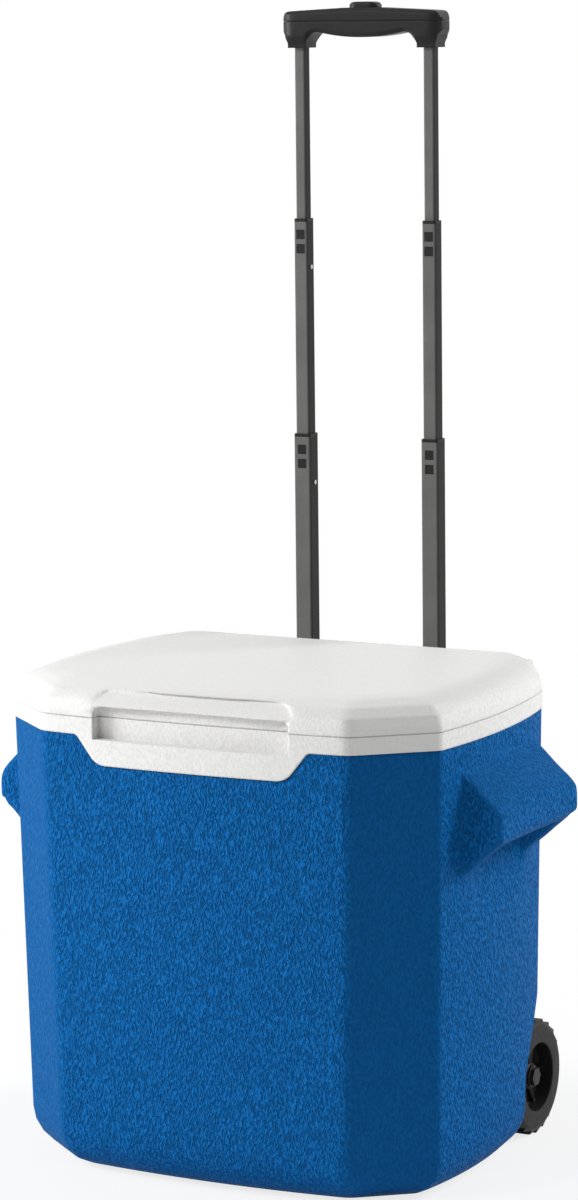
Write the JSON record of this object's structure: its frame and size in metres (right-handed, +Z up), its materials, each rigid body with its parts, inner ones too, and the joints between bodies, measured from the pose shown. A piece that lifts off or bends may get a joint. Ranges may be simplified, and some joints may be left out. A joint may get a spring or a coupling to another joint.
{
  "type": "wheeled cooler",
  "caption": "Blue hard-sided wheeled cooler with a white hinged lid, moulded side handles, rear corner wheels and a telescoping pull handle with a release button.",
  "frame": {"origin": "on the floor, midway between the ends of the body and 157 mm in front of its back panel", "axes": "+Z up, -Y towards the front panel with the lid's finger notch, +X towards the right-hand end as seen from the front; the telescoping handle is at +Y"},
  "size_m": [0.4876, 0.363, 0.998],
  "materials": {
    "shell": "blue polyethylene with a fine leathery grain",
    "white_plastic": "white polyethylene, fine grain",
    "foam": "pale rigid insulating foam, hidden",
    "wheel_plastic": "black moulded wheel",
    "hub_plastic": "black moulded cap",
    "tube_paint": "dark grey semi-gloss coated steel",
    "collar_plastic": "black moulded guide",
    "grip_plastic": "black moulded grip, soft sheen",
    "bracket_plastic": "black moulded bracket",
    "steel": "plated steel"
  },
  "bodies": {
    "cooler_body": {"outer_shell": "shell", "liner": "white_plastic", "body_foam": "foam", "axle_left": "steel", "axle_right": "steel", "hub_cap_left": "hub_plastic", "hub_cap_right": "hub_plastic", "hinge_pin_left": "steel", "hinge_pin_right": "steel", "base_tube_left": "tube_paint", "base_tube_right": "tube_paint", "base_collar_left": "collar_plastic", "base_collar_right": "collar_plastic", "base_plug_left": "bracket_plastic", "base_plug_right": "bracket_plastic", "upper_bracket": "bracket_plastic", "lower_bracket": "bracket_plastic", "bracket_screws": "steel"},
    "lid": {"lid_shell": "white_plastic", "lid_liner": "white_plastic", "lid_foam": "foam"},
    "wheel_left": {"wheel_left": "wheel_plastic"},
    "wheel_right": {"wheel_right": "wheel_plastic"},
    "lower_stage": {"lower_tube_left": "tube_paint", "lower_tube_right": "tube_paint", "lower_collar_left": "collar_plastic", "lower_collar_right": "collar_plastic", "lower_foot_left": "collar_plastic", "lower_foot_right": "collar_plastic", "lower_lock_left": "steel"},
    "middle_stage": {"middle_tube_left": "tube_paint", "middle_tube_right": "tube_paint", "middle_collar_left": "collar_plastic", "middle_collar_right": "collar_plastic", "middle_foot_left": "collar_plastic", "middle_foot_right": "collar_plastic", "middle_lock_left": "steel"},
    "upper_stage": {"upper_tube_left": "tube_paint", "upper_tube_right": "tube_paint", "upper_foot_left": "collar_plastic", "upper_foot_right": "collar_plastic", "upper_lock_left": "steel", "upper_lock_right": "steel", "grip_body": "grip_plastic", "grip_cap": "grip_plastic", "grip_screws": "steel", "button_spring": "steel"},
    "release_button": {"release_button": "grip_plastic", "release_bar": "grip_plastic"}
  },
  "joints": [
    {"name": "lid_hinge", "type": "hinge", "parent": "cooler_body", "child": "lid", "pos_m": [0, 0.1455, 0.4144], "axis": [-1, 0, 0], "range_deg": [0, 90]},
    {"name": "wheel_left_spin", "type": "hinge", "parent": "cooler_body", "child": "wheel_left", "pos_m": [-0.17, 0.127, 0.0516], "axis": [1, 0, 0], "continuous": true},
    {"name": "wheel_right_spin", "type": "hinge", "parent": "cooler_body", "child": "wheel_right", "pos_m": [0.17, 0.127, 0.0516], "axis": [1, 0, 0], "continuous": true},
    {"name": "lower_slide", "type": "slide", "parent": "cooler_body", "child": "lower_stage", "axis": [0, 0, 1], "range_m": [-0.226, 0], "deforming": ["lower_lock_left"]},
    {"name": "middle_slide", "type": "slide", "parent": "lower_stage", "child": "middle_stage", "axis": [0, 0, 1], "range_m": [-0.1935, 0], "deforming": ["middle_lock_left"]},
    {"name": "upper_slide", "type": "slide", "parent": "middle_stage", "child": "upper_stage", "axis": [0, 0, 1], "range_m": [-0.1515, 0], "deforming": ["upper_lock_left", "upper_lock_right"]},
    {"name": "button_press", "type": "slide", "parent": "upper_stage", "child": "release_button", "axis": [0, 0, -1], "range_m": [0, 0.005], "stiffness_N_per_m": 600, "springref_m": -0.004, "deforming": ["button_spring"]}
  ]
}
